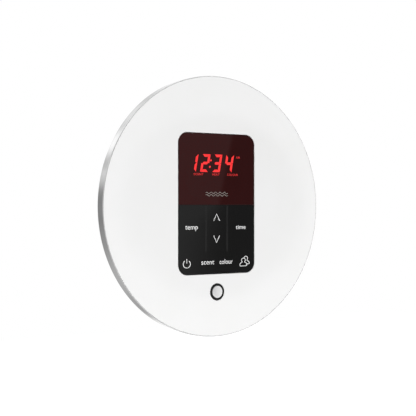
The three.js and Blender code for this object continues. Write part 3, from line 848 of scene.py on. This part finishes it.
def addKeyFilm(key):
    # A patch that moves with the key, and four strips round it, which stay where they are
    low, high = boxOf("keypad_film")
    (left, _, bottom), (right, _, top) = padOf(key)
    body = key + "_key"
    outer, inner = film["outer"], film["inner"]
    bm = bmesh.new()
    block(bm, (left + inner, low.y, bottom + inner), (right - inner, high.y, top - inner))
    finishPiece(f"film_{key}_patch", bm, blackFilm, body=body)
    x, z = (left + right) / 2, (bottom + top) / 2
    halfWidth, halfHeight = (right - left) / 2, (top - bottom) / 2
    for side, along, across, turn in (
            ("top", halfWidth, halfHeight, 0), ("right", halfHeight, halfWidth, 90),
            ("bottom", halfWidth, halfHeight, 180), ("left", halfHeight, halfWidth, 270)):
        bm = bmesh.new()
        made = bmesh.ops.create_grid(bm, x_segments=1, y_segments=film["rows"], size=1)
        for vert in made["verts"]:
            share = (vert.co.y + 1) / 2
            reach = along - inner + share * (inner - outer)
            vert.co = (vert.co.x * reach, 0, across - inner + share * (inner - outer))
        grown = bmesh.ops.extrude_face_region(bm, geom=bm.faces[:])
        back = [part for part in grown["geom"] if isinstance(part, bmesh.types.BMVert)]
        bmesh.ops.translate(bm, vec=(0, high.y - low.y, 0), verts=back)
        spot = Matrix.Translation((x, low.y, z)) @ Matrix.Rotation(math.radians(turn), 4, "Y")
        bmesh.ops.transform(bm, matrix=spot, verts=bm.verts[:])
        out = spot.to_3x3() @ Vector((0, 0, 1))
        middle = Vector((x, low.y, z))
        start, end = middle + out * (across - outer), middle + out * (across - inner)
        finishPiece(
            f"film_{key}_{side}", bm, blackFilm,
            body=("control_head", body, start * 0.001, end * 0.001))


def inkPiece(name, bm, place, body):
    low = boxOf("keypad_film")[0]
    fitDrawing(bm, *place, low.y - film["proudInk"], film["inkDepth"])
    finishPiece(name, bm, whiteInk, body=body)


words = {
    "temp": ("temp", -21.5, -13.1, -13.7, -10.7), "time": ("time", 12.9, 19.9, -13.0, -10.75),
    "scent": ("scent", -10.72, -2.05, -32.5, -30.3), "colour": ("colour", 1.62, 10.7, -32.5, -29.9),
}


def strokes(lines, width):
    # Rounded lines with a round section, which fitDrawing flattens
    curve = tubeCurve(width / 2, 2)
    for points in lines:
        ring = points[0] == points[-1] and len(points) > 3
        points = points[:-1] if ring else points
        line = curve.splines.new("POLY")
        line.points.add(len(points) - 1)
        for spot, (x, z) in zip(line.points, points):
            spot.co = (x, z, 0, 1)
        line.use_cyclic_u = ring
    return curveMesh(curve)


def arc(x, z, radius, start, end, steps, height=None):
    turn = [math.radians(start + (end - start) * i / steps) for i in range(steps + 1)]
    return [(x + radius * math.cos(a), z + (height or radius) * math.sin(a)) for a in turn]


# A person in front and part of one behind, on a grid where the front one is 3 wide
head = arc(1.5, 2.75, 0.85, -55, 235, 20, 0.95)
people = [
    [(0.95, 1.75), (0.25, 1.35), (0, 0.9), (0.05, 0.25), (0.25, 0), (2.75, 0), (2.95, 0.25), (3, 0.9),
     (2.75, 1.35), (2.05, 1.75)] + head + [(0.95, 1.75)],
    [(1.85, 4.0), (2.1, 4.35), (2.6, 4.6), (3.1, 4.4), (3.35, 3.9), (3.3, 3.3), (3.1, 2.95), (3.05, 2.6),
     (3.6, 2.25), (4.0, 1.8), (4.05, 1.1), (3.9, 0.9), (3.15, 0.9)],
]
icons = {
    "up": ([[(-1, 0), (0, 1.75), (1, 0)]], 0.24, (-2.6, 1.85, -8.3, -4.0)),
    "down": ([[(-1, 1.75), (0, 0), (1, 1.75)]], 0.24, (-2.6, 1.85, -20.6, -16.3)),
    "power": ([arc(0, 0, 2.2, 125, 415, 32), [(0, 0.5), (0, 2.9)]], 0.46, (-23.02, -17.85, -34.2, -29.0)),
    "users": (people, 0.3, (15.6, 22.7, -34.2, -28.3)),
}


def addInk():
    for key, (text, *place) in words.items():
        bm = wordMesh(text, capHeight=2.4, proud=0.03, weight=0.005)
        inkPiece(f"print_{key}", bm, place, key + "_key")
    for key, (lines, width, place) in icons.items():
        inkPiece(f"print_{key}", strokes(lines, width), place, key + "_key")


divider = {
    "x": {"left": -7.6, "right": 6.85}, "width": 1.0, "bottom": -25.2, "short": 0.1, "proud": 0.008,
    "sunk": 0.03,
}


def addDividers():
    low, high = boxOf("keypad_film")
    half = divider["width"] / 2
    for side, x in divider["x"].items():
        bm = bmesh.new()
        start = (x - half, low.y - divider["proud"], divider["bottom"])
        block(bm, start, (x + half, low.y + divider["sunk"], high.z - divider["short"]))
        finishPiece(f"divider_{side}", bm, darkInk)


wave = {
    "rises": (0, 1.5), "points": 64, "step": 0.5, "length": 0.5, "swing": 0.5, "width": 0.42,
    "place": (-8.0, 7.4, 5.5, 8.1),
}


def addWaves():
    # Two wavy lines one above the other
    angles = [wave["step"] * i for i in range(wave["points"])]
    line = [(wave["length"] * a, wave["swing"] * math.sin(a)) for a in angles]
    bm = strokes([[(x, z + rise) for x, z in line] for rise in wave["rises"]], wave["width"])
    fitDrawing(bm, *wave["place"], boxOf("display_window")[0].y - film["proudInk"], film["inkDepth"])
    finishPiece("wave_mark", bm, paleInk)


addFilm()
for key in keyNames:
    addKeyFilm(key)
addInk()
addDividers()
addWaves()
print("keypad made")


sensor = {
    "radius": 3.4, "bore": 2.0, "frontWall": 1.0, "dome": 0.7, "pitch": 0.5, "crest": 0.02, "root": 0.28,
    "plainEnd": 0.4, "endStep": 0.3,
}


def addSensor():
    # A domed cap on a fine thread, open at the back
    low, high = boxOf("sensor_cap")
    middle = (low + high) / 2
    radius, bore, dome = sensor["radius"], sensor["bore"], sensor["dome"]
    profile = [(radius * math.sin(a), low.y + dome * (1 - math.cos(a))) for a in quarter(8)]
    y = boxOf("sensor_nut")[0].y
    while y < high.y - sensor["plainEnd"]:
        profile += [(radius - sensor["crest"], y), (radius - sensor["root"], y + sensor["pitch"] / 2)]
        y += sensor["pitch"]
    boreFloor = boxOf("face_disc")[0].y + sensor["frontWall"]
    profile += [(radius - sensor["endStep"], high.y), (bore, high.y), (bore, boreFloor), (0, boreFloor)]
    bm = bmesh.new()
    turned(bm, profile, middle.x, middle.z, 64)
    finishPiece("sensor_dome", bm, sensorSteel, ["sensor_cap"], 50)


grommet = {"inner": 3.55, "outer": 4.7, "rounding": 0.12, "nutRounding": 0.25}


def addGrommetAndNut():
    low, high = boxOf("sensor_grommet")
    x, _, z = middleOf("sensor_cap")
    inner, outer = grommet["inner"], grommet["outer"]
    profile = [(inner, low.y), (outer, low.y), (outer, high.y), (inner, high.y), (inner, low.y)]
    bm = bmesh.new()
    turned(bm, profile, x, z, 64, {0: grommet["rounding"], 1: grommet["rounding"]})
    finishPiece("sensor_ring", bm, blackRubber, ["sensor_grommet"])
    low, high = boxOf("sensor_nut")
    bm = bmesh.new()
    plate(bm, circle(x, z, radiusOf("sensor_nut"), 6), [circle(x, z, inner, 48)], low.y, high.y,
          grommet["nutRounding"])
    finishPiece("sensor_hex_nut", bm, stainless, ["sensor_nut"], 30)


lead = {
    "radius": 1.056,
    "route": [
        (0, 0), (3.6, 0), (6.4, 1.6), (7.4, 4.6), (7.4, 9), (7.4, 13), (6.6, 15.8), (5.2, 16.6), (4.3, 16.6),
    ],
}


def addLead():
    # The route holds (y, height above the sensor's middle), and starts at the CAD lead's own front end
    start = boxOf("sensor_lead")[0].y
    middle = middleOf("sensor_cap")
    curve = tubeCurve(lead["radius"], 5)
    curve.resolution_u = 8
    line = curve.splines.new("BEZIER")
    route = [(start, 0)] + lead["route"][1:]
    line.bezier_points.add(len(route) - 1)
    for spot, (y, rise) in zip(line.bezier_points, route):
        spot.co = (0, y, middle.z + rise)
        spot.handle_left_type = spot.handle_right_type = "AUTO"
    bm = curveMesh(curve, turn=0)
    finishPiece("sensor_lead_tube", bm, greyRubber, ["sensor_lead"])


addSensor()
addGrommetAndNut()
addLead()
print("sensor made")


housing = {
    "wall": 2.0, "corner": 3.0, "collarWall": 1.15, "rounding": 0.5, "rimStep": 0.15, "boardRoom": 0.05,
    "leadHole": 1.35,
}
post = {"bore": 1.25, "foot": 2.5, "top": 2.6, "from": 5.0, "short": 0.05}


def addHousing():
    # A box with an open back, and a narrower collar that goes through the carrier
    low, high = boxOf("housing")
    ends = (boxOf("keypad_film")[0], boxOf("display_window")[1])
    shoulder = boxOf("wall_seal")[0].y
    ledge = boxOf("display_board")[0].y - housing["boardRoom"]
    corner, thick, soft, rim = housing["corner"], housing["wall"], housing["rounding"], housing["rimStep"]
    box = boxOutline((low, high), 0, [corner] * 4)
    collar = boxOutline(ends, 0, [window["corner"]] * 4)
    inside = boxOutline((low, high), -thick, [corner - thick] * 4)
    mouth = -housing["collarWall"]
    section = [(collar, mouth, low.y), (collar, 0, low.y), (collar, 0, shoulder)]
    section += [(box, -soft * (1 - math.sin(a)), shoulder + soft * (1 - math.cos(a))) for a in quarter(4)]
    section += [(box, 0, high.y - rim), (box, -rim, high.y), (inside, 0, high.y), (inside, 0, ledge)]
    section += [(collar, mouth, ledge), (collar, mouth, low.y)]
    bm = bmesh.new()
    bridge(bm, [shape(bm, grow, y) for shape, grow, y in section])
    tool = bmesh.new()
    hole = Matrix.Translation((0, lead["route"][3][0], low.z))
    radius = housing["leadHole"]
    bmesh.ops.create_cone(
        tool, cap_ends=True, segments=32, radius1=radius, radius2=radius, depth=3 * thick, matrix=hole)
    bm = cutFrom(bm, tool)
    bore, start, end = post["bore"], post["from"], high.y - post["short"]
    profile = [(bore, start), (post["foot"], start), (post["top"], end), (bore, end)]
    for spot in middlesOf("rear_screw"):
        turned(bm, profile + profile[:1], spot.x, spot.z, 32)
    finishPiece("housing_shell", bm, blackPlastic, ["housing"])
    addRear(box, inside)


rear = {"hole": 1.45, "socketRoom": 0.35, "coverRounding": 0.45, "sealRounding": 0.1}


def addRear(box, inside):
    low, high = boxOf("rear_seal")
    bm = bmesh.new()
    plate(bm, box, [inside], low.y, high.y, rear["sealRounding"])
    finishPiece("rear_seal_ring", bm, greyRubber, ["rear_seal"])
    low, high = boxOf("rear_cover")
    holes = [boxOutline(boxOf("cable_socket"), rear["socketRoom"])]
    holes += [circle(spot.x, spot.z, rear["hole"], 32) for spot in middlesOf("rear_screw")]
    soft = rear["coverRounding"]
    section = [(0, low.y)]
    section += [(-soft * (1 - math.cos(a)), high.y - soft * (1 - math.sin(a))) for a in quarter(4)]
    bm = bmesh.new()
    slab(bm, [(box, section)] + [(hole, [(0, low.y), (0, high.y)]) for hole in holes])
    finishPiece("rear_cover_plate", bm, blackPlastic, ["rear_cover"])


socket = {
    "mouth": (10.0, 7.0, 9.0), "latch": (3.3, 1.5), "rounding": 0.25,
    "contacts": 6, "contactPitch": 1.3, "contact": (0.45, 6.5, 0.4), "rooted": 0.3, "below": 0.9,
    "contactRounding": 0.08,
}


def addSocket():
    low, high = boxOf("cable_socket")
    middle = (low + high) / 2
    width, height, depth = socket["mouth"]
    latchWidth, latchHeight = socket["latch"]
    bm = bmesh.new()
    block(bm, low, high, socket["rounding"], 3)
    floorY, outside = high.y - depth, high.y + 1
    bottom, top = middle.z - height / 2, middle.z + height / 2
    bm = cutBlock(bm, (-width / 2, floorY, bottom), (width / 2, outside, top))
    bm = cutBlock(bm, (-latchWidth / 2, floorY, bottom - latchHeight), (latchWidth / 2, outside, middle.z))
    finishPiece("cable_socket_shell", bm, chipBlack, ["cable_socket"], 30)
    bm = bmesh.new()
    wide, long, thick = socket["contact"]
    back, upper = floorY - socket["rooted"], top - socket["below"]
    for i in range(socket["contacts"]):
        x = (i - (socket["contacts"] - 1) / 2) * socket["contactPitch"]
        start = (x - wide / 2, back, upper - thick)
        block(bm, start, (x + wide / 2, floorY + long, upper), socket["contactRounding"])
    finishPiece("socket_contacts", bm, goldPlate)


addHousing()
addSocket()
print("housing and socket made")


bracket = {
    "rounding": 0.12, "wayRoom": 2.0, "wayCorner": 4, "notchRoom": 2.7, "notchCorner": 2, "mouthCorner": 1,
    "slot": (4.4, 8.4), "slotCorner": 2.156,
}


def addBracket():
    # A disc with one way through for the housing, notched below for the sensor's nut, and four screw slots
    low, high = boxOf("wall_bracket")
    houseLow, houseHigh = boxOf("housing")
    room = bracket["wayRoom"]
    right, top, bottom = houseHigh.x + room, houseHigh.z + room, houseLow.z - room
    reach = radiusOf("sensor_nut") + bracket["notchRoom"]
    notch = middleOf("sensor_nut").z - reach
    spots = [(-right, top), (right, top), (right, bottom), (reach, bottom), (reach, notch),
             (-reach, notch), (-reach, bottom), (-right, bottom)]
    signs = [(-1, 1), (1, 1), (1, -1), (1, -1), (1, -1), (-1, -1), (-1, -1), (-1, -1)]
    corners = dict.fromkeys((0, 1, 2, 7), bracket["wayCorner"])
    corners |= dict.fromkeys((3, 6), bracket["mouthCorner"]) | dict.fromkeys((4, 5), bracket["notchCorner"])

    def way(bm, grow, y):
        verts = ringOf(bm, [(x + grow * sx, z + grow * sz) for (x, z), (sx, sz) in zip(spots, signs)], y)
        before = set(bm.verts) - set(verts)
        for i, radius in corners.items():
            size = radius - grow if i in (3, 6) else radius + grow  # those two point inwards
            roundCorner(bm, verts[i], size, 6)
        return edgesOf([vert for vert in bm.verts if vert not in before])

    corner = [bracket["slotCorner"]] * 4
    slots = [rectangle(spot.x, spot.z, *bracket["slot"], corner) for spot in middlesOf("wall_screw")]
    bm = bmesh.new()
    plate(bm, circle(0, 0, high.x, 192), [way] + slots, low.y, high.y, bracket["rounding"])
    finishPiece("bracket_sheet", bm, stainless, ["wall_bracket"], body="wall_plate")


screws = {
    "wall_screw": {
        "body": "wall_plate", "turn": 1, "headHeight": 1.05, "shank": 1.7, "pitch": 1.6, "depth": 0.5,
        "tip": 4.0, "taper": 0.93, "cross": 0.9, "crossDepth": 0.6,
    },
    "rear_screw": {
        "body": "control_head", "turn": -1, "headHeight": 1.4, "shank": 1.15, "pitch": 0.7, "depth": 0.25,
        "tip": 1.0, "taper": 0.35, "cross": 0.7, "crossDepth": 0.7,
    },
}
# The head's profile is in shares of its radius and height, a tooth's foot and crest in shares of the pitch.
screwHead = {
    "profile": [(0, 0), (0.55, 0), (0.85, 0.16), (1, 0.55), (1, 1), (0, 1)], "rounding": 0.14, "arm": 0.62,
}
tooth = {"foot": 0.45, "crest": 0.72, "sunk": 0.02, "short": 0.3, "steps": 24}
screwTurn = 37  # degrees from each screw to the next, so that their crosses don't line up


def screwHeadShape(size, radius):
    height, cross, deep = size["headHeight"], size["cross"] / 2, size["crossDepth"]
    bm = bmesh.new()
    profile = [(radius * out, height * along) for out, along in screwHead["profile"]]
    turned(bm, profile, steps=48, corners={i: height * screwHead["rounding"] for i in (1, 2, 3, 4)})
    arm = radius * screwHead["arm"]
    bm = cutBlock(bm, (-arm, -1, -cross), (arm, deep, cross))
    return cutBlock(bm, (-cross, -1, -arm), (cross, deep, arm))


def screwThread(size, length):
    # One turn of a toothed line, drawn out along the axis, trimmed at both ends and tapered to the tip
    bm = bmesh.new()
    height, pitch, outer = size["headHeight"], size["pitch"], size["shank"]
    inner = outer - size["depth"]
    verts = []
    for i in range(int((length - height) / pitch) + 3):
        y = height + (i - 1.5) * pitch
        teeth = ((inner, y), (inner, y + tooth["foot"] * pitch), (outer, y + tooth["crest"] * pitch))
        verts += [bm.verts.new((radius, along, 0)) for radius, along in teeth]
    edges = [bm.edges.new(pair) for pair in zip(verts, verts[1:])]
    steps = tooth["steps"]
    bmesh.ops.spin(
        bm, geom=verts + edges, cent=(0, 0, 0), axis=(0, 1, 0), dvec=(0, pitch / steps, 0),
        angle=2 * math.pi, steps=steps, use_merge=False)
    bmesh.ops.remove_doubles(bm, verts=bm.verts[:], dist=1e-3)
    for y, side in ((height - tooth["sunk"], -1), (length - tooth["short"], 1)):
        everything = bm.verts[:] + bm.edges[:] + bm.faces[:]
        trim = bmesh.ops.bisect_plane(
            bm, geom=everything, plane_co=(0, y, 0), plane_no=(0, side, 0), clear_outer=True)
        rim = [part for part in trim["geom_cut"] if isinstance(part, bmesh.types.BMEdge)]
        bmesh.ops.edgeloop_fill(bm, edges=rim)
    start = length - size["tip"]
    for vert in bm.verts:
        if vert.co.y > start:
            shrink = 1 - size["taper"] * (vert.co.y - start) / size["tip"]
            vert.co.x *= shrink
            vert.co.z *= shrink
    return bm


def screwShape(kind, size):
    # Built along +Y from the head's front at 0, on the axis
    low, high = boxOf(kind)
    bm = screwHeadShape(size, (high.x - low.x) / 2)
    thread = screwThread(size, high.y - low.y)
    made = bpy.data.meshes.new("thread")
    thread.to_mesh(made)
    thread.free()
    bm.from_mesh(made)
    bpy.data.meshes.remove(made)
    return bm


def addScrews():
    for kind, size in screws.items():
        shape = screwShape(kind + "_1", size)
        flip = Matrix.Diagonal((1, size["turn"], 1, 1))
        for i in range(1, 5):
            low, high = boxOf(f"{kind}_{i}")
            x, _, z = middleOf(f"{kind}_{i}")
            front = low.y if size["turn"] > 0 else high.y
            place = Matrix.Translation((x, front, z)) @ Matrix.Rotation(math.radians(i * screwTurn), 4, "Y")
            bm = shape.copy()
            bmesh.ops.transform(bm, matrix=place @ flip, verts=bm.verts[:])
            finishPiece(f"{kind}_turned_{i}", bm, zincSteel, [f"{kind}_{i}"], 35, size["body"])
        shape.free()


addBracket()
addScrews()
print("bracket and screws made")

for node in nodes.values():
    if not node.hide_render and not node.data.materials:
        node.data.materials.append(blackPlastic)
